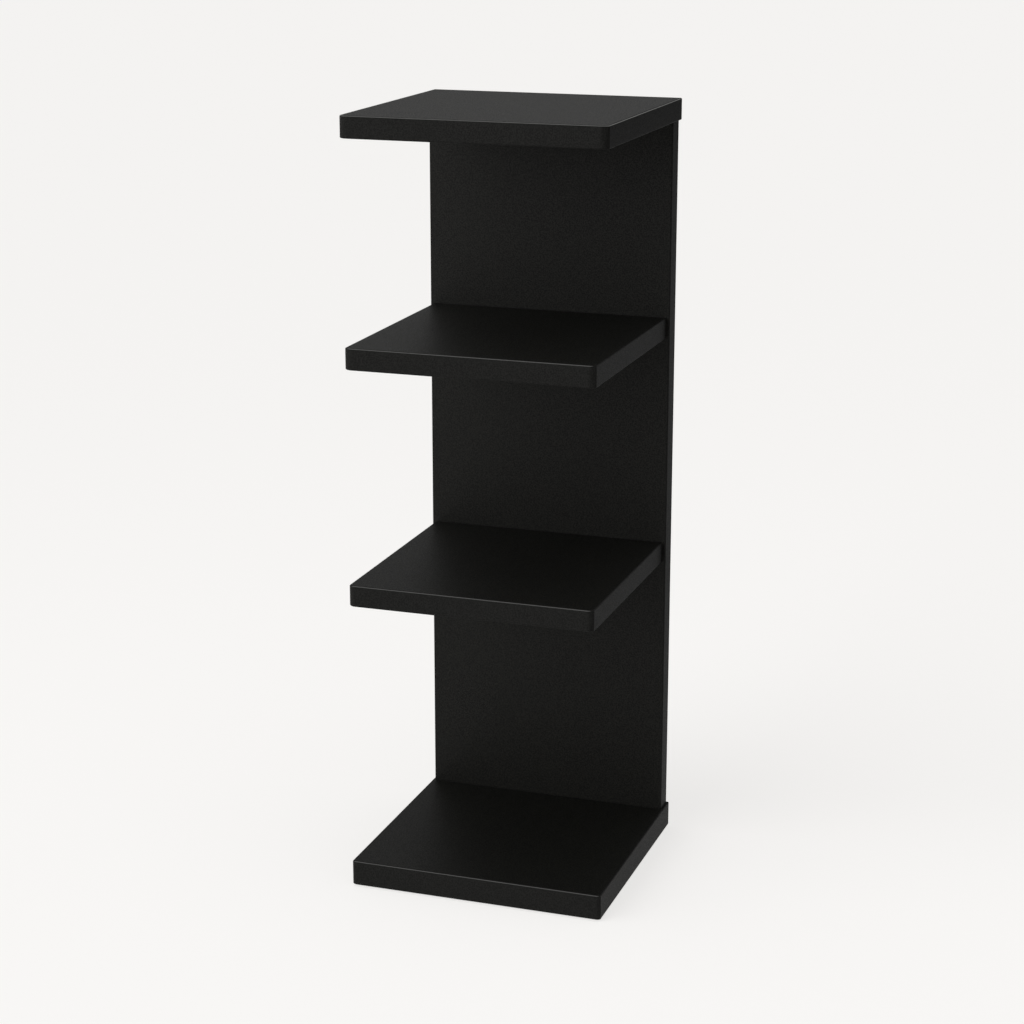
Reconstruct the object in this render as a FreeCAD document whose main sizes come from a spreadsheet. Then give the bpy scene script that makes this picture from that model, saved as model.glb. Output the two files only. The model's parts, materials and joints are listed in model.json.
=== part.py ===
import FreeCAD, Part
import math
import operator
import os
from collections import namedtuple
from types import SimpleNamespace

import Sketcher

# Spine bookshelf. One upright panel, the spine, stands on a base slab and carries a top slab.
# Two shelves stand out from its front face, with nothing under their front edges. Every board
# is banded along its open edges, and screws, cams and dowels hold the joints.
#
# Axes: X to the right, Y to the back, Z up. The origin is on the floor, under the middle of the
# overall box: the shelves' front edges and the slabs' back edges are equally far from it.

# Driving sizes, in millimetres.
DRIVING_SIZES = {
    # The two slabs and the room between the boards, measured clear
    "overall_height": 900,
    "slab_width": 304,
    "slab_depth": 294,
    "top_thickness": 25,
    "base_thickness": 30,
    "lower_bay": 318,
    "middle_bay": 248,
    # The spine, set in from the slabs' side and back edges
    "spine_thickness": 25,
    "spine_side_inset": 3,
    "spine_back_inset": 1.5,
    # The shelves, set in from the slabs' side edges and standing proud of their front edges
    "shelf_thickness": 25,
    "shelf_side_inset": 7.5,
    "shelf_front_proud": 13,
    # Front corners: how far the rounding runs along the front, and how far back along the side
    "top_corner_reach": 9.5,
    "top_corner_setback": 5,
    "upper_shelf_corner_reach": 8,
    "upper_shelf_corner_setback": 4,
    "lower_shelf_corner_reach": 7,
    "lower_shelf_corner_setback": 4,
    "base_corner_reach": 5,
    "base_corner_setback": 2.5,
    # Edge bands
    "band_thickness": 2,
    "arris_radius": 1.5,
    # Clearance round whatever sits in a hole, and past its end
    "hole_clearance": 0.1,
    "end_clearance": 0.5,
    # Screws through the spine into the shelves, and up through the base into the spine
    "fixing_edge_distance": 40,
    "screw_length": 70,
    "screw_head_diameter": 10,
    "screw_head_height": 4,
    "screw_head_rim": 1,
    "screw_shank_diameter": 7,
    "screw_shank_end": 24,
    "screw_core_diameter": 5,
    "screw_point_length": 5,
    "screw_point_diameter": 2,
    "screw_pitch": 3,
    "screw_ridge_width": 1.2,
    "socket_across_flats": 4,
    "socket_depth": 3,
    # Caps pushed into the sockets of the screws in the back
    "cap_diameter": 13,
    "cap_thickness": 1,
    "cap_chamfer": 0.4,
    "cap_stem_length": 2,
    # Dowels, and the wood left behind the end that stands in a board's face
    "dowel_diameter": 8,
    "dowel_length": 40,
    "dowel_chamfer": 1,
    "wood_behind_dowel": 10,
    # Cam bolts in the underside of the top, and the cams in the spine that draw them down
    "cam_setback": 34,
    "cam_diameter": 15,
    "cam_skirt": 0.5,
    "cam_cavity_diameter": 9,
    "cross_length": 8,
    "cross_width": 1.6,
    "cross_depth": 2,
    "bolt_head_diameter": 7,
    "bolt_head_height": 3,
    "bolt_neck_diameter": 5,
    "bolt_collar_diameter": 7.6,
    "bolt_collar_height": 3,
    "bolt_core_diameter": 4.4,
    "bolt_thread_diameter": 6,
    "bolt_thread_length": 11,
    "bolt_point_length": 2,
    "bolt_pitch": 2,
    "bolt_ridge_width": 1,
    "cover_diameter": 17,
    "cover_thickness": 1,
    "cover_stem_length": 1.5,
    # Pads that the base stands on
    "pad_diameter": 24,
    "pad_thickness": 2,
    "pad_chamfer": 0.5,
    "pad_edge_distance": 24,
}

SHEET = "Sizes"
OUTPUT_FOLDER = "parts"
OPERATIONS = {"+": operator.add, "-": operator.sub, "*": operator.mul, "/": operator.truediv}

# Numbers by which a sketch knows its own origin and the two ends and the centre of an element
ORIGIN = (-1, 1)
START, END, CENTRE = 1, 2, 3

# Which way an outline turns along an arc
LEFT, RIGHT = 1, -1

# How near an edge's middle has to be to a surface to lie on it
ON_SURFACE = 1e-4

# Turns that stand a piece, drawn along Z, in its place
X_AXIS = FreeCAD.Vector(1, 0, 0)
UPRIGHT = FreeCAD.Rotation()
UPSIDE_DOWN = FreeCAD.Rotation(X_AXIS, 180)
TOP_TO_BACK = FreeCAD.Rotation(X_AXIS, -90)
TOP_TO_FRONT = FreeCAD.Rotation(X_AXIS, 90)

LEFT_AND_RIGHT = {"left": -1, "right": 1}
LEFT_TO_RIGHT = {"left": -1, "middle": 0, "right": 1}


# ---------------------------------------------------------------- sizes


class Size:
    """A number together with the expression in the sheet's sizes that gives it."""

    def __init__(self, value, text):
        self.value = value
        self.text = text

    def __add__(self, other):
        return combine(self, "+", other)

    def __radd__(self, other):
        return combine(other, "+", self)

    def __sub__(self, other):
        return combine(self, "-", other)

    def __rsub__(self, other):
        return combine(other, "-", self)

    def __mul__(self, other):
        return combine(self, "*", other)

    def __rmul__(self, other):
        return combine(other, "*", self)

    def __truediv__(self, other):
        return combine(self, "/", other)

    def __neg__(self):
        return combine(0, "-", self)


def sized(number):
    """A plain number as a Size. A Size stays as it is."""
    if isinstance(number, Size):
        return number
    return Size(number, str(number))


def combine(left, symbol, right):
    left, right = sized(left), sized(right)
    value = OPERATIONS[symbol](left.value, right.value)
    return Size(value, "(%s %s %s)" % (left.text, symbol, right.text))


def root(size):
    return Size(math.sqrt(sized(size).value), "sqrt(%s)" % sized(size).text)


def whole(size):
    """The whole number at or below a size."""
    return Size(math.floor(size.value), "floor(%s)" % size.text)


def smaller(first, second):
    return Size(min(first.value, second.value), "min(%s; %s)" % (first.text, second.text))


def fill_sheet():
    """Put the driving sizes in the document's sheet, each cell under the size's own name."""
    sheet = document.addObject("Spreadsheet::Sheet", SHEET)
    for row, (alias, value) in enumerate(DRIVING_SIZES.items(), start=1):
        cell = "A%d" % row
        sheet.set(cell, str(value))
        sheet.setAlias(cell, alias)
    document.recompute()


# ---------------------------------------------------------------- sketches


def origin_feature(body, role):
    """One of the body's own origin planes or axes."""
    return next(item for item in body.Origin.OriginFeatures if item.Role == role)


def sketch_on(body, role, height=0):
    """A sketch on one of the body's origin planes, or at a height above it."""
    sketch = body.newObject("Sketcher::SketchObject", "Sketch")
    sketch.AttachmentSupport = [(origin_feature(body, role), "")]
    sketch.MapMode = "FlatFace"
    sketch.setExpression(".AttachmentOffset.Base.z", sized(height).text)
    return sketch


def dimension(sketch, kind, size, *where):
    """A driving dimension bound to the sheet."""
    size = sized(size)
    index = sketch.addConstraint(Sketcher.Constraint(kind, *where, float(size.value)))
    sketch.setExpression("Constraints[%d]" % index, size.text)


def hold(sketch, element, end, point):
    """Hold one end, or the centre, of an element at a point measured from the sketch's origin."""
    dimension(sketch, "DistanceX", point[0], *ORIGIN, element, end)
    dimension(sketch, "DistanceY", point[1], *ORIGIN, element, end)


def vector(point):
    return FreeCAD.Vector(sized(point[0]).value, sized(point[1]).value, 0)


def add_stretch(sketch, start, finish, arc):
    """One straight or round stretch of an outline. Gives its element and its two ends in order."""
    if arc is None:
        line = Part.LineSegment(vector(start), vector(finish))
        element = sketch.addGeometry(line, False)
        return element, START, END
    radius, turn = arc
    chord = vector(finish) - vector(start)
    aside = FreeCAD.Vector(chord.y, -chord.x, 0).normalize() * turn
    bulge = radius.value - math.sqrt(radius.value**2 - (chord.Length / 2) ** 2)
    middle = vector(start) + chord / 2 + aside * bulge
    ends = [vector(start), vector(finish)][::turn]
    element = sketch.addGeometry(Part.Arc(ends[0], middle, ends[1]), False)
    dimension(sketch, "Radius", radius, element)
    return (element, START, END) if turn == LEFT else (element, END, START)


def draw(sketch, points, arcs=None):
    """A closed outline through the points, each held by its distances from the sketch's origin.

    arcs gives (radius, turn) for each stretch that is round, by the number of its first point.
    """
    arcs = arcs or {}
    stretches = []
    for number, start in enumerate(points):
        finish = points[(number + 1) % len(points)]
        stretches.append(add_stretch(sketch, start, finish, arcs.get(number)))
    for number, (element, first, _) in enumerate(stretches):
        before, _, last = stretches[number - 1]
        sketch.addConstraint(Sketcher.Constraint("Coincident", before, last, element, first))
        hold(sketch, element, first, points[number])


def draw_circles(sketch, centres, radius):
    for centre in centres:
        circle = Part.Circle(vector(centre), FreeCAD.Vector(0, 0, 1), radius.value)
        element = sketch.addGeometry(circle, False)
        dimension(sketch, "Radius", radius, element)
        hold(sketch, element, CENTRE, centre)


def rectangle(left, right, low, high):
    return [(left, low), (right, low), (right, high), (left, high)]


def hexagon(across_flats):
    flat = across_flats / 2
    corner = across_flats / root(3)
    return [
        (corner, 0),
        (corner / 2, flat),
        (-corner / 2, flat),
        (-corner, 0),
        (-corner / 2, -flat),
        (corner / 2, -flat),
    ]


def cross(length, width):
    """The twelve corners of two crossing slots."""
    far, near = length / 2, width / 2
    quarter = [(far, -near), (far, near), (near, near)]
    corners = []
    for _ in range(4):
        corners += quarter
        quarter = [(-y, x) for x, y in quarter]
    return corners


# ---------------------------------------------------------------- features


def new_body(label):
    body = document.addObject("PartDesign::Body", label)
    body.Label = label
    return body


def extrude(body, kind, sketch, length, along_normal):
    """A Pad or a Pocket of the sketch, along its normal or against it."""
    feature = body.newObject("PartDesign::" + kind, kind)
    feature.Profile = sketch
    feature.setExpression("Length", sized(length).text)
    runs_along_normal = kind == "Pad"
    feature.Reversed = runs_along_normal != along_normal
    return feature


def plate(label, outline, thickness, arcs=None):
    """A body with the outline seen from above, standing on its XY plane."""
    body = new_body(label)
    sketch = sketch_on(body, "XY_Plane")
    draw(sketch, outline, arcs)
    return body, extrude(body, "Pad", sketch, thickness, along_normal=True)


def revolve(body, points):
    """Turn an outline, given as distances from the body's Z axis and heights, round that axis."""
    sketch = sketch_on(body, "XZ_Plane")
    draw(sketch, points)
    feature = body.newObject("PartDesign::Revolution", "Revolution")
    feature.Profile = sketch
    feature.ReferenceAxis = (sketch, ["V_Axis"])
    return feature


def turned(label, points):
    body = new_body(label)
    revolve(body, points)
    return body


def disc_profile(radius, thickness, chamfer):
    """Half the section of a disc that lies on z = 0, chamfered round its upper edge."""
    return [
        (0, 0),
        (radius, 0),
        (radius, thickness - chamfer),
        (radius - chamfer, thickness),
        (0, thickness),
    ]


def add_thread(body, core, outer, ridge_width, pitch, first, last):
    """Ridges round the body's Z axis, a pitch apart, upwards from the height first to last."""
    ridge = revolve(
        body,
        [
            (core / 2, first),
            (core, first),
            (outer, first + ridge_width / 2),
            (core, first + ridge_width),
            (core / 2, first + ridge_width),
        ],
    )
    document.recompute()
    pattern = body.newObject("PartDesign::LinearPattern", "Thread")
    pattern.Originals = [ridge]
    pattern.Direction = (origin_feature(body, "Z_Axis"), [""])
    pattern.Mode = "Spacing"
    pattern.setExpression("Offset", pitch.text)
    pattern.setExpression("Occurrences", (whole((last - first - ridge_width) / pitch) + 1).text)
    body.Tip = pattern


def round_arrises(body, feature, surfaces):
    """Round each edge that lies on two of the surfaces.

    A surface is a function that gives a point's distance from it.
    """
    document.recompute()
    names = []
    for number, edge in enumerate(feature.Shape.Edges, start=1):
        middle = edge.valueAt((edge.FirstParameter + edge.LastParameter) / 2)
        touching = [surface for surface in surfaces if abs(surface(middle)) < ON_SURFACE]
        if len(touching) >= 2:
            names.append("Edge%d" % number)
    fillet = body.newObject("PartDesign::Fillet", "Arris")
    fillet.Base = (feature, names)
    fillet.setExpression("Radius", smaller(size.arris_radius, size.band_thickness * 0.9).text)


Face = namedtuple("Face", "plane height into_normal")


def underside():
    return Face("XY_Plane", 0, True)


def upper_side(thickness):
    return Face("XY_Plane", thickness, False)


def back_side():
    return Face("XZ_Plane", 0, True)


def front_side(thickness):
    return Face("XZ_Plane", thickness, False)


def drill(body, face, centres, radius, depth):
    """Holes of one size and depth, straight into a face."""
    sketch = sketch_on(body, face.plane, face.height)
    draw_circles(sketch, centres, radius)
    extrude(body, "Pocket", sketch, depth, face.into_normal)


def stand(body, x, y, z, turn=UPRIGHT):
    """Put the body's own origin at a place that follows the sheet."""
    place = [sized(x), sized(y), sized(z)]
    body.Placement = FreeCAD.Placement(FreeCAD.Vector(*[part.value for part in place]), turn)
    for axis, part in zip("xyz", place):
        body.setExpression(".Placement.Base." + axis, part.text)


# ---------------------------------------------------------------- boards and bands


class Slab:
    """A level board: its outer sizes with the bands on, and the place of its back lower edge.

    Its bodies are drawn with X = 0 in the middle, Y = 0 at the back edge and Z = 0 underneath.
    """

    def __init__(self, name, width, depth, thickness, corner, place, banded_back):
        self.name = name
        self.half = width / 2
        self.front = -depth
        self.thickness = thickness
        self.place = place
        self.banded_back = banded_back
        band = size.band_thickness
        self.reach, self.setback = corner
        self.side = self.half - band
        self.radius = (self.reach * self.reach + self.setback * self.setback) / (self.setback * 2)
        self.core_radius = self.radius - band
        self.core_front = self.front + band
        self.turn_x = self.half - self.reach
        self.outer_seam = self.front + self.setback
        run = self.reach - band
        rise = root(self.core_radius * self.core_radius - run * run)
        self.inner_seam = self.front + self.radius - rise


def make_slab_board(slab):
    """The board inside the bands."""
    back = -size.band_thickness if slab.banded_back else 0
    outline = [
        (-slab.side, back),
        (-slab.side, slab.inner_seam),
        (-slab.turn_x, slab.core_front),
        (slab.turn_x, slab.core_front),
        (slab.side, slab.inner_seam),
        (slab.side, back),
    ]
    corner = (slab.core_radius, LEFT)
    body, _ = plate(slab.name + "_board", outline, slab.thickness, {1: corner, 3: corner})
    stand(body, *slab.place)
    return body


def make_front_band(slab):
    """One strip along the front edge and round both corners, up to the seams on the sides."""
    outline = [
        (-slab.half, slab.outer_seam),
        (-slab.turn_x, slab.front),
        (slab.turn_x, slab.front),
        (slab.half, slab.outer_seam),
        (slab.side, slab.inner_seam),
        (slab.turn_x, slab.core_front),
        (-slab.turn_x, slab.core_front),
        (-slab.side, slab.inner_seam),
    ]
    outer, inner = (slab.radius, LEFT), (slab.core_radius, RIGHT)
    arcs = {0: outer, 2: outer, 4: inner, 6: inner}
    body, strip = plate(slab.name + "_band_front", outline, slab.thickness, arcs)

    def outer_surface(point):
        across = max(abs(point.x) - slab.turn_x.value, 0)
        along = slab.front.value + slab.radius.value - point.y
        return math.hypot(across, along) - slab.radius.value

    round_arrises(body, strip, [outer_surface, *level_surfaces(slab.thickness)])
    stand(body, *slab.place)


def make_side_band(slab, name, side):
    """The strip along one side, from the front band's seam to the back edge."""
    outline = [
        (slab.half * side, slab.outer_seam),
        (slab.half * side, 0),
        (slab.side * side, 0),
        (slab.side * side, slab.inner_seam),
    ]
    body, strip = plate("%s_band_%s" % (slab.name, name), outline, slab.thickness)
    surfaces = [lambda point: point.x - slab.half.value * side, *level_surfaces(slab.thickness)]
    if slab.banded_back:
        surfaces.append(lambda point: point.y)
    round_arrises(body, strip, surfaces)
    stand(body, *slab.place)


def make_back_band(slab):
    """The strip along the back edge, between the two side bands."""
    outline = rectangle(-slab.side, slab.side, -size.band_thickness, 0)
    body, strip = plate(slab.name + "_band_back", outline, slab.thickness)
    round_arrises(body, strip, [lambda point: point.y, *level_surfaces(slab.thickness)])
    stand(body, *slab.place)


def level_surfaces(thickness):
    """The planes of a board's two faces."""
    return [lambda point: point.z, lambda point: point.z - thickness.value]


def make_slab(slab):
    """A slab's board and all its bands. Gives the board, for drilling."""
    board = make_slab_board(slab)
    make_front_band(slab)
    for name, side in LEFT_AND_RIGHT.items():
        make_side_band(slab, name, side)
    if slab.banded_back:
        make_back_band(slab)
    return board


def make_spine():
    """The upright board and its two side bands. Y = 0 is its back and Z = 0 its lower end."""
    side = spine_half - size.band_thickness
    outline = rectangle(-side, side, -size.spine_thickness, 0)
    board, _ = plate("spine_board", outline, spine_length)
    stand(board, 0, spine_back_y, spine_z)
    for name, sign in LEFT_AND_RIGHT.items():
        outline = rectangle(side * sign, spine_half * sign, -size.spine_thickness, 0)
        band, strip = plate("spine_band_" + name, outline, spine_length)
        surfaces = [
            lambda point, edge=spine_half.value * sign: point.x - edge,
            lambda point: point.y,
            lambda point: point.y + size.spine_thickness.value,
        ]
        round_arrises(band, strip, surfaces)
        stand(band, 0, spine_back_y, spine_z)
    return board


# ---------------------------------------------------------------- holes


def screw_row(across):
    return [(screw_x * sign, across) for sign in LEFT_TO_RIGHT.values()]


def dowel_row(across):
    return [(dowel_x * sign, across) for sign in LEFT_AND_RIGHT.values()]


def cam_row(across):
    return [(screw_x * sign, across) for sign in LEFT_AND_RIGHT.values()]


def drill_for_dowels(board, face, centres, depth):
    radius = size.dowel_diameter / 2 + size.hole_clearance
    drill(board, face, centres, radius, depth + size.end_clearance)


def drill_for_screw_heads(board, face, centres, thickness):
    """Clear holes for the shanks, with a wider mouth for each head."""
    shank = size.screw_shank_diameter / 2 + size.hole_clearance
    head = size.screw_head_diameter / 2 + size.hole_clearance
    drill(board, face, centres, shank, thickness)
    drill(board, face, centres, head, size.screw_head_height)


def drill_for_screw_ends(board, face, centres, thickness_passed):
    """Holes for what is left of the screws after the board that they pass through."""
    radius = size.screw_shank_diameter / 2 + size.hole_clearance
    depth = size.screw_length - thickness_passed + size.end_clearance
    drill(board, face, centres, radius, depth)


def drill_shelf(board):
    middle = size.shelf_thickness / 2
    drill_for_screw_ends(board, back_side(), screw_row(middle), size.spine_thickness)
    depth = size.dowel_length - dowel_in_spine
    drill_for_dowels(board, back_side(), dowel_row(middle), depth)


def drill_base(board):
    drill_for_screw_heads(board, underside(), screw_row(joint_line), size.base_thickness)
    face = upper_side(size.base_thickness)
    drill_for_dowels(board, face, dowel_row(joint_line), dowel_in_base)


def drill_top(board):
    radius = size.bolt_thread_diameter / 2 + size.hole_clearance
    depth = size.bolt_thread_length + size.end_clearance
    drill(board, underside(), cam_row(joint_line), radius, depth)
    drill_for_dowels(board, underside(), dowel_row(joint_line), dowel_in_top)


def drill_spine_ends(board):
    middle = -size.spine_thickness / 2
    drill_for_screw_ends(board, underside(), screw_row(middle), size.base_thickness)
    depth = size.dowel_length - dowel_in_base
    drill_for_dowels(board, underside(), dowel_row(middle), depth)
    face = upper_side(spine_length)
    depth = size.dowel_length - dowel_in_top
    drill_for_dowels(board, face, dowel_row(middle), depth)
    radius = size.bolt_collar_diameter / 2 + size.hole_clearance
    drill(board, face, cam_row(middle), radius, size.cam_setback)


def drill_spine_faces(board):
    for shelf in (lower_shelf, upper_shelf):
        height = shelf.place[2] + size.shelf_thickness / 2 - spine_z
        drill_for_screw_heads(board, back_side(), screw_row(height), size.spine_thickness)
        face = front_side(size.spine_thickness)
        drill_for_dowels(board, face, dowel_row(height), dowel_in_spine)
    radius = size.cam_diameter / 2 + size.hole_clearance
    centres = cam_row(spine_length - size.cam_setback)
    drill(board, back_side(), centres, radius, cam_height + size.end_clearance)


# ---------------------------------------------------------------- screws, dowels and cams


def make_screw(label):
    """A countersunk screw with a hexagon socket. Its head's face is at Z = 0 and it points down."""
    head = size.screw_head_diameter / 2
    shank = size.screw_shank_diameter / 2
    core = size.screw_core_diameter / 2
    thread_end = size.screw_point_length - size.screw_length
    body = turned(
        label,
        [
            (0, 0),
            (head, 0),
            (head, -size.screw_head_rim),
            (shank, -size.screw_head_height),
            (shank, -size.screw_shank_end),
            (core, -size.screw_shank_end),
            (core, thread_end),
            (size.screw_point_diameter / 2, -size.screw_length),
            (0, -size.screw_length),
        ],
    )
    add_thread(
        body,
        core,
        shank,
        size.screw_ridge_width,
        size.screw_pitch,
        thread_end,
        -size.screw_shank_end,
    )
    document.recompute()
    sketch = sketch_on(body, "XY_Plane")
    draw(sketch, hexagon(size.socket_across_flats))
    extrude(body, "Pocket", sketch, size.socket_depth, along_normal=False)
    return body


def make_cap(label):
    """A disc with a hexagonal stem below it that grips in a screw's socket."""
    radius = size.cap_diameter / 2
    body = turned(label, disc_profile(radius, size.cap_thickness, size.cap_chamfer))
    sketch = sketch_on(body, "XY_Plane")
    draw(sketch, hexagon(size.socket_across_flats - size.hole_clearance * 2))
    extrude(body, "Pad", sketch, size.cap_stem_length, along_normal=False)
    return body


def make_dowel(label):
    """A chamfered dowel that stands on Z = 0."""
    radius, chamfer = size.dowel_diameter / 2, size.dowel_chamfer
    return turned(
        label,
        [
            (0, 0),
            (radius - chamfer, 0),
            (radius, chamfer),
            (radius, size.dowel_length - chamfer),
            (radius - chamfer, size.dowel_length),
            (0, size.dowel_length),
        ],
    )


def make_cam_bolt(label):
    """A bolt whose thread stands above Z = 0 and whose head hangs in the middle of the cam."""
    head = size.bolt_head_diameter / 2
    neck = size.bolt_neck_diameter / 2
    collar = size.bolt_collar_diameter / 2
    core = size.bolt_core_diameter / 2
    thread_end = size.bolt_thread_length - size.bolt_point_length
    head_low = -size.cam_setback - size.bolt_head_height / 2
    head_high = -size.cam_setback + size.bolt_head_height / 2
    body = turned(
        label,
        [
            (0, head_low),
            (head, head_low),
            (head, head_high),
            (neck, head_high),
            (neck, -size.bolt_collar_height),
            (collar, -size.bolt_collar_height),
            (collar, 0),
            (core, 0),
            (core, thread_end),
            (core / 2, size.bolt_thread_length),
            (0, size.bolt_thread_length),
        ],
    )
    outer = size.bolt_thread_diameter / 2
    first = size.bolt_ridge_width / 2
    add_thread(body, core, outer, size.bolt_ridge_width, size.bolt_pitch, first, thread_end)
    return body


def make_cam_lock(label):
    """A cam with its face at Z = 0 and its body below. The bolt comes in along +Y, at mid-depth.

    The bolt's neck runs in a slot in the wall, and its head turns in the cavity behind the wall.
    """
    radius = size.cam_diameter / 2
    body = new_body(label)
    sketch = sketch_on(body, "XY_Plane")
    draw_circles(sketch, [(0, 0)], radius)
    extrude(body, "Pad", sketch, cam_height, along_normal=False)
    cavity = size.cam_cavity_diameter / 2
    head = size.bolt_head_diameter / 2 + size.hole_clearance
    sketch = sketch_on(body, "XY_Plane", -cam_height)
    draw_circles(sketch, [(0, 0)], cavity)
    extrude(body, "Pocket", sketch, cam_height - bolt_depth + head, along_normal=True)
    neck = size.bolt_neck_diameter / 2 + size.hole_clearance
    sketch = sketch_on(body, "XY_Plane", -cam_height)
    draw(sketch, rectangle(-neck, neck, -radius - size.end_clearance, 0))
    extrude(body, "Pocket", sketch, cam_height - bolt_depth + neck, along_normal=True)
    sketch = sketch_on(body, "XY_Plane")
    draw(sketch, cross(size.cross_length, size.cross_width))
    extrude(body, "Pocket", sketch, size.cross_depth, along_normal=False)
    return body


def make_cam_cover(label):
    """A disc with a cross-shaped stem below it that grips in the cam's cross."""
    radius = size.cover_diameter / 2
    body = turned(label, disc_profile(radius, size.cover_thickness, size.cap_chamfer))
    sketch = sketch_on(body, "XY_Plane")
    clear = size.hole_clearance * 2
    draw(sketch, cross(size.cross_length - clear, size.cross_width - clear))
    extrude(body, "Pad", sketch, size.cover_stem_length, along_normal=False)
    return body


def fasten_shelf(shelf):
    """The screws through the spine's back into a shelf, their caps, and the dowels between."""
    height = shelf.place[2] + size.shelf_thickness / 2
    for name, sign in LEFT_TO_RIGHT.items():
        screw = make_screw("%s_screw_%s" % (shelf.name, name))
        stand(screw, screw_x * sign, spine_back_y, height, TOP_TO_BACK)
        cap = make_cap("%s_screw_cap_%s" % (shelf.name, name))
        stand(cap, screw_x * sign, spine_back_y, height, TOP_TO_BACK)
    for name, sign in LEFT_AND_RIGHT.items():
        dowel = make_dowel("%s_dowel_%s" % (shelf.name, name))
        start = spine_front_y + dowel_in_spine
        stand(dowel, dowel_x * sign, start, height, TOP_TO_FRONT)


def fasten_base():
    """The screws up through the base into the spine, and the dowels between them."""
    for name, sign in LEFT_TO_RIGHT.items():
        screw = make_screw("base_screw_" + name)
        stand(screw, screw_x * sign, spine_middle_y, base_z, UPSIDE_DOWN)
    for name, sign in LEFT_AND_RIGHT.items():
        dowel = make_dowel("base_dowel_" + name)
        stand(dowel, dowel_x * sign, spine_middle_y, spine_z - dowel_in_base)


def fasten_top():
    """The cams in the spine's back, the bolts in the top's underside, and the dowels between."""
    for name, sign in LEFT_AND_RIGHT.items():
        bolt = make_cam_bolt("top_cam_bolt_" + name)
        stand(bolt, screw_x * sign, spine_middle_y, top_z)
        height = top_z - size.cam_setback
        lock = make_cam_lock("top_cam_lock_" + name)
        stand(lock, screw_x * sign, spine_back_y, height, TOP_TO_BACK)
        cover = make_cam_cover("top_cam_cover_" + name)
        stand(cover, screw_x * sign, spine_back_y, height, TOP_TO_BACK)
        dowel = make_dowel("top_dowel_" + name)
        stand(dowel, dowel_x * sign, spine_middle_y, top_z + dowel_in_top, UPSIDE_DOWN)


def make_floor_pads():
    """A pad near each corner of the base, chamfered round its lower edge."""
    radius = size.pad_diameter / 2
    rows = {
        "front": back_y - size.slab_depth + size.pad_edge_distance,
        "back": back_y - size.pad_edge_distance,
    }
    for row, y in rows.items():
        for name, sign in LEFT_AND_RIGHT.items():
            profile = disc_profile(radius, size.pad_thickness, size.pad_chamfer)
            pad = turned("floor_pad_%s_%s" % (row, name), profile)
            x = (size.slab_width / 2 - size.pad_edge_distance) * sign
            stand(pad, x, y, base_z, UPSIDE_DOWN)


# ---------------------------------------------------------------- checks and files


def check_document():
    """Stop if an object failed, a pocket cut nothing, or a piece isn't one sound solid."""
    for item in document.Objects:
        if "Invalid" in item.State or "Error" in item.State:
            raise RuntimeError("%s failed: %s" % (item.Label, item.State))
    for pocket in document.findObjects("PartDesign::Pocket"):
        if pocket.Shape.Volume >= pocket.BaseFeature.Shape.Volume:
            raise RuntimeError("%s cuts nothing" % pocket.Label)
    for body in document.findObjects("PartDesign::Body"):
        shape = body.Shape
        if shape.isNull() or not shape.isValid() or len(shape.Solids) != 1:
            raise RuntimeError("%s isn't one valid solid" % body.Label)


def write_parts():
    os.makedirs(OUTPUT_FOLDER, exist_ok=True)
    for body in document.findObjects("PartDesign::Body"):
        body.Shape.exportStep(os.path.join(OUTPUT_FOLDER, body.Label + ".step"))


# ---------------------------------------------------------------- the bookshelf

document = FreeCAD.newDocument("SpineBookshelf")
fill_sheet()
size = SimpleNamespace(
    **{alias: Size(value, "%s.%s" % (SHEET, alias)) for alias, value in DRIVING_SIZES.items()}
)

# Heights of the boards' undersides
base_z = size.pad_thickness
spine_z = base_z + size.base_thickness
lower_shelf_z = spine_z + size.lower_bay
upper_shelf_z = lower_shelf_z + size.shelf_thickness + size.middle_bay
top_z = size.overall_height - size.top_thickness
spine_length = top_z - spine_z

# Planes from back to front
back_y = (size.slab_depth + size.shelf_front_proud) / 2
spine_back_y = back_y - size.spine_back_inset
spine_middle_y = spine_back_y - size.spine_thickness / 2
spine_front_y = spine_back_y - size.spine_thickness
shelf_depth = back_y + spine_front_y

# The spine's middle plane, seen from the slabs' back edge
joint_line = -size.spine_back_inset - size.spine_thickness / 2

# Widths, and where the fixings stand across them: each dowel midway between two screws
spine_half = size.slab_width / 2 - size.spine_side_inset
shelf_width = size.slab_width - size.shelf_side_inset * 2
screw_x = spine_half - size.fixing_edge_distance
dowel_x = screw_x / 2

# How deep the dowels stand in the boards' faces, and the cams in the spine
dowel_in_spine = size.spine_thickness - size.wood_behind_dowel
dowel_in_base = size.base_thickness - size.wood_behind_dowel
dowel_in_top = size.top_thickness - size.wood_behind_dowel
bolt_depth = size.spine_thickness / 2
cam_height = bolt_depth + size.bolt_head_diameter / 2 + size.cam_skirt

top = Slab(
    "top",
    size.slab_width,
    size.slab_depth,
    size.top_thickness,
    (size.top_corner_reach, size.top_corner_setback),
    (0, back_y, top_z),
    banded_back=True,
)
base = Slab(
    "base",
    size.slab_width,
    size.slab_depth,
    size.base_thickness,
    (size.base_corner_reach, size.base_corner_setback),
    (0, back_y, base_z),
    banded_back=True,
)
upper_shelf = Slab(
    "upper_shelf",
    shelf_width,
    shelf_depth,
    size.shelf_thickness,
    (size.upper_shelf_corner_reach, size.upper_shelf_corner_setback),
    (0, spine_front_y, upper_shelf_z),
    banded_back=False,
)
lower_shelf = Slab(
    "lower_shelf",
    shelf_width,
    shelf_depth,
    size.shelf_thickness,
    (size.lower_shelf_corner_reach, size.lower_shelf_corner_setback),
    (0, spine_front_y, lower_shelf_z),
    banded_back=False,
)

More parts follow.
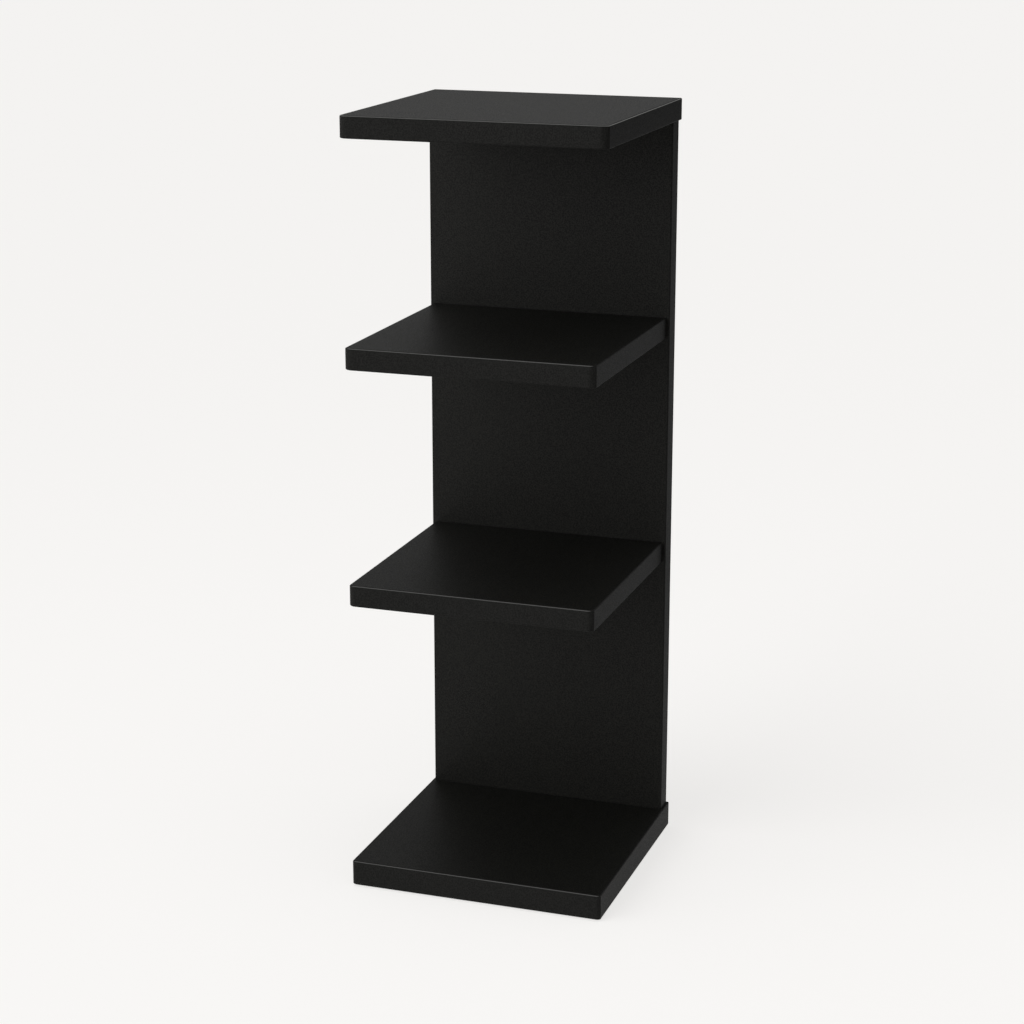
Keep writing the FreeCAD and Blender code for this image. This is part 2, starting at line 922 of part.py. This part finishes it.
drill_top(make_slab(top))
drill_shelf(make_slab(upper_shelf))
drill_shelf(make_slab(lower_shelf))
drill_base(make_slab(base))
spine_board = make_spine()
drill_spine_ends(spine_board)
drill_spine_faces(spine_board)

fasten_top()
fasten_shelf(upper_shelf)
fasten_shelf(lower_shelf)
fasten_base()
make_floor_pads()

document.recompute()
check_document()
write_parts()
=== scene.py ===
import json
import math

import bpy
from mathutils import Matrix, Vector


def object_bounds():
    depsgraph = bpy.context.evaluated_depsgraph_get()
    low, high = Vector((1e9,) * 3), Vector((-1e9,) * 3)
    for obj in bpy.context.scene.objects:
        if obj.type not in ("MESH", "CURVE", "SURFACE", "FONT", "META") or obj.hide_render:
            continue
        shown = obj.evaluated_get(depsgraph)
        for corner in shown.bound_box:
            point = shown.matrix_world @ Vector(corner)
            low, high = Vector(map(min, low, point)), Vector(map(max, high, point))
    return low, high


# The spine bookshelf in a white studio. Every piece of it comes from the frame; this script gives
# the pieces their finishes, and sets up the floor, the light and the camera.
# Lengths are in metres, angles in degrees, and a brightness of 1 is white.
# X runs right, Y runs back and Z runs up.

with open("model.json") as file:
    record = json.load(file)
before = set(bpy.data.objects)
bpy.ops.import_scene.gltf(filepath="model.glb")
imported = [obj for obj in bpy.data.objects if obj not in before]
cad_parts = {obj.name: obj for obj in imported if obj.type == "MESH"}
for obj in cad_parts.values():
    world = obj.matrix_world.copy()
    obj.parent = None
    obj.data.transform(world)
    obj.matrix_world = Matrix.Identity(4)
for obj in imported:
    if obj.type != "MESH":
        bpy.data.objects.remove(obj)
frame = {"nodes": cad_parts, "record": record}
cad_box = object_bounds()
object_right, _, object_top = cad_box[1]
nodes = frame["nodes"]

# ------------------------------------------------------------------ finishes: numbers

# What share of the red and green the blue is, because both blacks are a little short of it
BOARD_BLUE_SHARE = 0.84
BAND_BLUE_SHARE = 0.92

# The melamine face of the boards: a satin black with a fine pearl structure
BOARD_DARK = 0.0014
BOARD_LIGHT = 0.0087
BOARD_ROUGH = 0.475
BOARD_SPECULAR = 0.116
BOARD_PEARL_DEPTH = 0.00004

# The plastic edge bands: a shade lighter than the face, and duller
BAND_DARK = 0.0046
BAND_LIGHT = 0.0106
BAND_ROUGH = 0.597
BAND_SPECULAR = 0.081
BAND_PEARL_DEPTH = 0.00002

# The pearl structure, and the stretch of its noise that runs from a pit to a top
PEARLS_PER_METRE = 800.0
PEARL_WINDOW = (0.42, 0.58)
# How much rougher than the rest the pits are, and how much smoother the tops
PEARL_ROUGH_SWING = 0.05

# The front upper arris of each level, painted paler: a painted highlight of the key light in front
ARRIS_HIGHLIGHT_COLOUR = (0.07, 0.07, 0.068, 1.0)
# The upper arris along the top slab's two ends, painted paler still: a painted highlight of the top
# light above
END_ARRIS_HIGHLIGHT_COLOUR = (0.2, 0.2, 0.195, 1.0)
ARRIS_ROUGH = 0.35
# The slope, as front_slope and end_slope give it, where the painted highlight starts, and where it is
# full
ARRIS_HIGHLIGHT_WINDOW = (0.26, 0.36)

# Raw particle board, in the holes and on the sides of a board
CHIP_DARK = (0.22, 0.14, 0.08, 1.0)
CHIP_LIGHT = (0.52, 0.38, 0.24, 1.0)
CHIPS_PER_METRE = 420.0
CHIP_WINDOW = (0.35, 0.65)
CHIP_DEPTH = 0.0004
# A surface counts as the board's face where it looks along the board's thickness this squarely.
# So does the flat bottom of a hole, which a fastener hides.
FACE_LIMIT = 0.9

# Moulded plastic and rubber: tones, roughness, and the depth and fineness of the grain
CAP_PLASTIC = {"dark": 0.006, "light": 0.009, "rough": 0.5, "depth": 0.00001, "per_metre": 4000.0}
PAD_RUBBER = {"dark": 0.018, "light": 0.026, "rough": 0.75, "depth": 0.00005, "per_metre": 1500.0}
MOULDED_CLOUDS_PER_METRE = 60.0
MOULDED_ROUGH_SWING = 0.06
MOULDED_SPECULAR = 0.15

# The metal of the screws and bolts, and of the cams
ZINC_PLATE_DARK = (0.55, 0.57, 0.60, 1.0)
ZINC_PLATE_LIGHT = (0.68, 0.68, 0.66, 1.0)
ZINC_PLATE = {"rough": 0.3, "depth": 0.000004, "per_metre": 3000.0}
CAST_ZINC_DARK = (0.36, 0.37, 0.39, 1.0)
CAST_ZINC_LIGHT = (0.46, 0.46, 0.47, 1.0)
CAST_ZINC = {"rough": 0.5, "depth": 0.00002, "per_metre": 2000.0}
METAL_CLOUDS_PER_METRE = 150.0
METAL_ROUGH_SWING = 0.08
METAL_SPECULAR = 0.5

# The beech of the dowels
BEECH_DARK = (0.50, 0.31, 0.17, 1.0)
BEECH_LIGHT = (0.66, 0.45, 0.28, 1.0)
BEECH_RINGS_PER_METRE = 500.0
BEECH_ROUGH_WINDOW = (0.55, 0.7)
BEECH_DEPTH = 0.00005
BEECH_SPECULAR = 0.3
# How fine the noise is along the dowel, as a share of how fine it is across
BEECH_ALONG_SHARE = 0.06
FLECK_COLOUR = (0.30, 0.17, 0.09, 1.0)
FLECKS_PER_METRE = 2500.0
FLECK_WINDOW = (0.62, 0.7)
FLECK_STRENGTH = 0.6

# Where noise mostly lies
NOISE_WINDOW = (0.3, 0.7)
# All noise is turned, in radians, because it fades on a face that lies along its lattice
NOISE_TURN = (0.5, 0.7, 0.9)

# ------------------------------------------------------------------ studio: numbers

# The camera stands to the right of the middle and above the top, and looks down at the shelves
CAMERA_PLACE = (0.8673, -2.5342, 1.1877)
CAMERA_YAW = 18.932
CAMERA_PITCH = 15.728
CAMERA_LENS_MM = 84.2535
CAMERA_SENSOR_MM = 36.0

FLOOR_HALF_WIDTH = 40.0
FLOOR_COLOUR = (0.982, 0.97, 0.955, 1.0)
# How much of the floor's brightness, as the camera and the gloss see it, isn't the lamps' doing
FLOOR_GLOW = 0.712

# The light of the room, which is the same from all sides
WORLD_STRENGTH = 0.45

# The key light: a broad soft source in front, to the left
KEY_STRENGTH = 2.2
KEY_WIDTH = 60.0
KEY_ELEVATION = 23.0
KEY_LEFT_OF_FRONT = 41.0

# The top light: a soft box that hangs above the object, a little towards the front
TOP_BRIGHTNESS = 1.9
TOP_RISE = 1.3
TOP_FORWARD = 0.35
TOP_WIDTH = 1.6
TOP_DEPTH = 0.9

# Two screens that only the gloss sees: one to the right of the object, and one behind
SCREEN_HEIGHT = 5.0
SIDE_SCREEN_GAP = 0.143
SIDE_SCREEN_FRONT = -3.0
SIDE_SCREEN_BACK = 8.0
SIDE_SCREEN_LOW_GREY = 0.51
SIDE_SCREEN_HIGH_GREY = 0.145
# The heights between which the side screen turns from its low grey to its high one
SIDE_SCREEN_FADE = (0.64, 0.945)
BACK_SCREEN_Y = 5.0
BACK_SCREEN_HALF_WIDTH = 10.0
BACK_SCREEN_GREY = 0.36


def grey(value):
    return (value, value, value, 1.0)


def black(value, blue_share):
    return (value, value, value * blue_share, 1.0)


def either_side(middle, swing):
    return (middle - swing, middle + swing)


# ------------------------------------------------------------------ shader trees


class Tree:
    """The node tree of a material or of the world, while it is being built."""

    def __init__(self, owner):
        owner.use_nodes = True
        self.tree = owner.node_tree
        self.tree.nodes.clear()

    def add(self, kind, inputs=None, **settings):
        """A new node. inputs gives each socket, by name or number, a value or a socket to follow."""
        node = self.tree.nodes.new(kind)
        for name, value in settings.items():
            setattr(node, name, value)
        for key, value in (inputs or {}).items():
            self.feed(node.inputs[key], value)
        return node

    def feed(self, socket, value):
        if isinstance(value, bpy.types.NodeSocket):
            self.tree.links.new(value, socket)
        else:
            socket.default_value = value

    def math(self, operation, *values):
        inputs = dict(enumerate(values))
        return self.add("ShaderNodeMath", inputs, operation=operation).outputs[0]

    def blend(self, share, first, second):
        """Two colours mixed."""
        node = self.add("ShaderNodeMix", data_type="RGBA")
        self.feed(node.inputs["Factor"], share)
        colours = [socket for socket in node.inputs if socket.type == "RGBA"]
        self.feed(colours[0], first)
        self.feed(colours[1], second)
        return next(socket for socket in node.outputs if socket.type == "RGBA")

    def stretch(self, value, from_window, to_window=(0.0, 1.0)):
        """A value that runs through one window, made to run through another."""
        inputs = {
            "Value": value,
            "From Min": from_window[0],
            "From Max": from_window[1],
            "To Min": to_window[0],
            "To Max": to_window[1],
        }
        return self.add("ShaderNodeMapRange", inputs).outputs["Result"]

    def fade(self, share, first, second):
        """Two numbers mixed."""
        return self.stretch(share, (0.0, 1.0), (first, second))

    def finish(self, surface, kind="ShaderNodeOutputMaterial"):
        self.add(kind, {"Surface": surface})


def new_material(name):
    material = bpy.data.materials.new(name)
    return material, Tree(material)


def place(tree, stretch=(1.0, 1.0, 1.0), turn=(0.0, 0.0, 0.0)):
    """The point of the surface in the frame's own coordinates, stretched along the axes and turned."""
    point = tree.add("ShaderNodeTexCoord").outputs["Object"]
    inputs = {"Vector": point, "Scale": stretch, "Rotation": turn}
    return tree.add("ShaderNodeMapping", inputs).outputs["Vector"]


def noise(tree, per_metre, detail=2.0, stretch=(1.0, 1.0, 1.0)):
    """Noise through the solid."""
    inputs = {"Vector": place(tree, stretch, NOISE_TURN), "Scale": per_metre, "Detail": detail}
    return tree.add("ShaderNodeTexNoise", inputs).outputs["Fac"]


def clouds(tree, per_metre):
    """Noise that runs from 0 to 1, to mix two tones by."""
    return tree.stretch(noise(tree, per_metre), NOISE_WINDOW)


def pearls(tree):
    """The pearl structure that is rolled into melamine and edge bands, from 0 in its pits to 1."""
    return tree.stretch(noise(tree, PEARLS_PER_METRE), PEARL_WINDOW)


def pearl_roughness(tree, pearl, rough):
    return tree.fade(pearl, rough + PEARL_ROUGH_SWING, rough - PEARL_ROUGH_SWING)


def bump(tree, height, depth):
    return tree.add("ShaderNodeBump", {"Height": height, "Distance": depth}).outputs["Normal"]


def normal_parts(tree):
    """The X, Y and Z of the way that the surface faces."""
    normal = tree.add("ShaderNodeNewGeometry").outputs["Normal"]
    return tree.add("ShaderNodeSeparateXYZ", {"Vector": normal}).outputs


def facing(tree, axis):
    """How squarely the surface faces along an axis, from 0 to 1."""
    return tree.math("ABSOLUTE", normal_parts(tree)[axis])


def front_slope(tree):
    """At most 0.38, where the surface slopes down to the front, and 0 where it is level or upright."""
    normal = normal_parts(tree)
    front = tree.math("MAXIMUM", tree.math("MULTIPLY", normal["Y"], -1.0), 0.0)
    return tree.math("MULTIPLY", tree.math("POWER", front, 2.0), normal["Z"])


def end_slope(tree):
    """The same where the surface slopes down to the left or to the right."""
    normal = normal_parts(tree)
    return tree.math("MULTIPLY", tree.math("MULTIPLY", normal["X"], normal["X"]), normal["Z"])


def coat(tree, colour, rough, normal, specular, metallic=0.0):
    """Give the material its surface."""
    inputs = {
        "Base Color": colour,
        "Roughness": rough,
        "Normal": normal,
        "Specular IOR Level": specular,
        "Metallic": metallic,
    }
    tree.finish(tree.add("ShaderNodeBsdfPrincipled", inputs).outputs["BSDF"])


# ------------------------------------------------------------------ finishes


def melamine(name, axis):
    """A board whose two faces along the axis are melamine, and whose other sides are raw."""
    material, tree = new_material(name)
    pearl = pearls(tree)
    dark = black(BOARD_DARK, BOARD_BLUE_SHARE)
    light = black(BOARD_LIGHT, BOARD_BLUE_SHARE)
    face = tree.blend(pearl, dark, light)
    face_rough = pearl_roughness(tree, pearl, BOARD_ROUGH)
    chips = tree.stretch(noise(tree, CHIPS_PER_METRE, detail=4.0), CHIP_WINDOW)
    raw = tree.blend(chips, CHIP_DARK, CHIP_LIGHT)
    is_raw = tree.math("LESS_THAN", facing(tree, axis), FACE_LIMIT)
    colour = tree.blend(is_raw, face, raw)
    rough = tree.math("MAXIMUM", face_rough, is_raw)
    depth = tree.fade(is_raw, BOARD_PEARL_DEPTH, CHIP_DEPTH)
    coat(tree, colour, rough, bump(tree, pearl, depth), BOARD_SPECULAR)
    return material


def edging(name, highlit_ends):
    """Plastic edge band, with a painted highlight along its upper arris: at the front, and if asked at
    the ends.
    """
    material, tree = new_material(name)
    pearl = pearls(tree)
    dark = black(BAND_DARK, BAND_BLUE_SHARE)
    light = black(BAND_LIGHT, BAND_BLUE_SHARE)
    face = tree.blend(pearl, dark, light)
    face_rough = pearl_roughness(tree, pearl, BAND_ROUGH)
    # Painted highlight: the upper arris gets a paler colour where it slopes down to the front
    slope = front_slope(tree)
    highlight_colour = ARRIS_HIGHLIGHT_COLOUR
    # With the ends asked for, the painted highlight also runs along the upper arris at the left and
    # right ends
    if highlit_ends:
        towards_end = end_slope(tree)
        slope = tree.math("ADD", slope, towards_end)
        end_share = tree.math("DIVIDE", towards_end, slope)
        highlight_colour = tree.blend(end_share, ARRIS_HIGHLIGHT_COLOUR, END_ARRIS_HIGHLIGHT_COLOUR)
    highlight_share = tree.stretch(slope, ARRIS_HIGHLIGHT_WINDOW)
    colour = tree.blend(highlight_share, face, highlight_colour)
    rough = tree.fade(highlight_share, face_rough, ARRIS_ROUGH)
    coat(tree, colour, rough, bump(tree, pearl, BAND_PEARL_DEPTH), BAND_SPECULAR)
    return material


def moulded(name, dark, light, rough, depth, per_metre):
    """Moulded plastic or rubber with an even grain."""
    material, tree = new_material(name)
    texture = noise(tree, per_metre)
    colour = tree.blend(clouds(tree, MOULDED_CLOUDS_PER_METRE), grey(dark), grey(light))
    roughness = tree.stretch(texture, NOISE_WINDOW, either_side(rough, MOULDED_ROUGH_SWING))
    coat(tree, colour, roughness, bump(tree, texture, depth), MOULDED_SPECULAR)
    return material


def metal(name, dark, light, rough, depth, per_metre):
    """Bare or plated metal, with clouds of tone and a fine grain."""
    material, tree = new_material(name)
    texture = noise(tree, per_metre, detail=4.0)
    colour = tree.blend(clouds(tree, METAL_CLOUDS_PER_METRE), dark, light)
    roughness = tree.stretch(texture, NOISE_WINDOW, either_side(rough, METAL_ROUGH_SWING))
    coat(tree, colour, roughness, bump(tree, texture, depth), METAL_SPECULAR, metallic=1.0)
    return material


def beech(name, stretch):
    """Beech with short dark flecks. stretch draws its noise out along the dowel."""
    material, tree = new_material(name)
    rings = noise(tree, BEECH_RINGS_PER_METRE, detail=3.0, stretch=stretch)
    wood = tree.blend(tree.stretch(rings, NOISE_WINDOW), BEECH_DARK, BEECH_LIGHT)
    flecks = noise(tree, FLECKS_PER_METRE, detail=1.0, stretch=stretch)
    flecked = tree.stretch(flecks, FLECK_WINDOW, (0.0, FLECK_STRENGTH))
    colour = tree.blend(flecked, wood, FLECK_COLOUR)
    roughness = tree.stretch(rings, NOISE_WINDOW, BEECH_ROUGH_WINDOW)
    coat(tree, colour, roughness, bump(tree, rings, BEECH_DEPTH), BEECH_SPECULAR)
    return material


def make_finishes():
    """The material of each slot, for boards that lie level and dowels that stand upright."""
    return {
        "black_melamine": melamine("board_level", "Z"),
        "black_edging": edging("edge_band", highlit_ends=False),
        "black_plastic": moulded("moulded_plastic", **CAP_PLASTIC),
        "zinc_plated_steel": metal("zinc_plate", ZINC_PLATE_DARK, ZINC_PLATE_LIGHT, **ZINC_PLATE),
        "die_cast_zinc": metal("cast_zinc", CAST_ZINC_DARK, CAST_ZINC_LIGHT, **CAST_ZINC),
        "beech": beech("beech_upright", (1.0, 1.0, BEECH_ALONG_SHARE)),
        "pad_rubber": moulded("pad_rubber", **PAD_RUBBER),
    }


def special_finishes():
    """The materials of the spine and the shelves' dowels, which lie another way, and the top's bands,
    whose end arrises carry a painted highlight too.
    """
    level_beech = beech("beech_level", (1.0, BEECH_ALONG_SHARE, 1.0))
    top_edging = edging("top_edge_band", highlit_ends=True)
    special = {name: level_beech for name in nodes if "shelf_dowel" in name}
    special.update({name: top_edging for name in nodes if name.startswith("top_band")})
    special["spine_board"] = melamine("board_upright", "Y")
    return special


def dress():
    """Give each node the finish of the slot that the record names for it."""
    finishes = make_finishes()
    special = special_finishes()
    for part in frame["record"]["subparts"]:
        name = part["node"]
        material = special.get(name, finishes[part["material_slot"]])
        for slot in nodes[name].material_slots:
            slot.material = material


# ------------------------------------------------------------------ studio


def add_panel(name, corners, material):
    """A flat piece of the studio with four corners."""
    mesh = bpy.data.meshes.new(name)
    mesh.from_pydata(corners, [], [(0, 1, 2, 3)])
    mesh.materials.append(material)
    panel = bpy.data.objects.new(name, mesh)
    bpy.context.scene.collection.objects.link(panel)
    return panel


def add_lamp(name, kind):
    data = bpy.data.lights.new(name, kind)
    lamp = bpy.data.objects.new(name, data)
    bpy.context.scene.collection.objects.link(lamp)
    return lamp, data


def seen_directly(tree):
    """1 for what the camera sees, straight or in a gloss or through glass, and 0 for the light."""
    rays = tree.add("ShaderNodeLightPath").outputs
    seen = tree.math("MAXIMUM", rays["Is Camera Ray"], rays["Is Glossy Ray"])
    return tree.math("MAXIMUM", seen, rays["Is Transmission Ray"])


def floor_paper():
    """White paper. The camera and the gloss see it partly by its own glow."""
    material, tree = new_material("studio_paper")
    glow = tree.add("ShaderNodeEmission", {"Color": FLOOR_COLOUR}).outputs["Emission"]
    lit = tree.add("ShaderNodeBsdfDiffuse", {"Color": FLOOR_COLOUR}).outputs["BSDF"]
    share = tree.math("MULTIPLY", seen_directly(tree), FLOOR_GLOW)
    tree.finish(tree.add("ShaderNodeMixShader", {0: share, 1: lit, 2: glow}).outputs["Shader"])
    return material


def make_floor():
    far = FLOOR_HALF_WIDTH
    corners = [(-far, -far, 0), (far, -far, 0), (far, far, 0), (-far, far, 0)]
    add_panel("studio_floor", corners, floor_paper())


def add_screen(name, start, end, low_grey, high_grey, fade):
    """An upright screen that only the gloss sees. Its tone changes between two heights."""
    material, tree = new_material(name + "_cloth")
    height = tree.add("ShaderNodeSeparateXYZ", {"Vector": place(tree)}).outputs["Z"]
    shade = tree.stretch(height, fade, (low_grey, high_grey))
    tree.finish(tree.add("ShaderNodeEmission", {"Strength": shade}).outputs["Emission"])
    corners = [(*start, 0), (*end, 0), (*end, SCREEN_HEIGHT), (*start, SCREEN_HEIGHT)]
    screen = add_panel(name, corners, material)
    screen.visible_camera = False
    screen.visible_diffuse = False
    screen.visible_shadow = False
    screen.visible_transmission = False


def make_screens():
    x = object_right + SIDE_SCREEN_GAP
    front = (x, SIDE_SCREEN_FRONT)
    back = (x, SIDE_SCREEN_BACK)
    add_screen("side_screen", front, back, SIDE_SCREEN_LOW_GREY, SIDE_SCREEN_HIGH_GREY, SIDE_SCREEN_FADE)
    left = (-BACK_SCREEN_HALF_WIDTH, BACK_SCREEN_Y)
    right = (BACK_SCREEN_HALF_WIDTH, BACK_SCREEN_Y)
    add_screen("back_screen", left, right, BACK_SCREEN_GREY, BACK_SCREEN_GREY, (0.0, SCREEN_HEIGHT))


def far_floor_brightness():
    """How bright the floor's paper is, seen directly, where only the key light and the room light it."""
    key = KEY_STRENGTH / math.pi * math.sin(math.radians(KEY_ELEVATION))
    return FLOOR_GLOW + (1 - FLOOR_GLOW) * (key + WORLD_STRENGTH)


def make_world():
    """The room's soft light. To the eye, the floor's paper goes on behind the floor's edge."""
    world = bpy.data.worlds.new("studio_room")
    bpy.context.scene.world = world
    tree = Tree(world)
    paper_inputs = {"Color": FLOOR_COLOUR, "Strength": far_floor_brightness()}
    paper = tree.add("ShaderNodeBackground", paper_inputs).outputs["Background"]
    light_inputs = {"Color": grey(1.0), "Strength": WORLD_STRENGTH}
    light = tree.add("ShaderNodeBackground", light_inputs).outputs["Background"]
    both = tree.add("ShaderNodeMixShader", {0: seen_directly(tree), 1: light, 2: paper})
    tree.finish(both.outputs["Shader"], "ShaderNodeOutputWorld")


def make_key_light():
    lamp, data = add_lamp("key_light", "SUN")
    data.energy = KEY_STRENGTH
    data.angle = math.radians(KEY_WIDTH)
    lamp.rotation_euler = (math.radians(90 - KEY_ELEVATION), 0, -math.radians(KEY_LEFT_OF_FRONT))


def make_top_light():
    lamp, data = add_lamp("top_light", "AREA")
    data.shape = "RECTANGLE"
    data.size = TOP_WIDTH
    data.size_y = TOP_DEPTH
    # A soft box is as bright as its energy over pi times its area
    data.energy = math.pi * TOP_WIDTH * TOP_DEPTH * TOP_BRIGHTNESS
    lamp.location = (0.0, -TOP_FORWARD, object_top + TOP_RISE)


def make_camera():
    data = bpy.data.cameras.new("camera")
    data.lens = CAMERA_LENS_MM
    data.sensor_width = CAMERA_SENSOR_MM
    camera = bpy.data.objects.new("camera", data)
    camera.location = CAMERA_PLACE
    camera.rotation_euler = (math.radians(90 - CAMERA_PITCH), 0, math.radians(CAMERA_YAW))
    bpy.context.scene.collection.objects.link(camera)
    bpy.context.scene.camera = camera


dress()
make_floor()
make_screens()
make_world()
make_key_light()
make_top_light()
make_camera()
bpy.context.scene.view_settings.view_transform = "Standard"
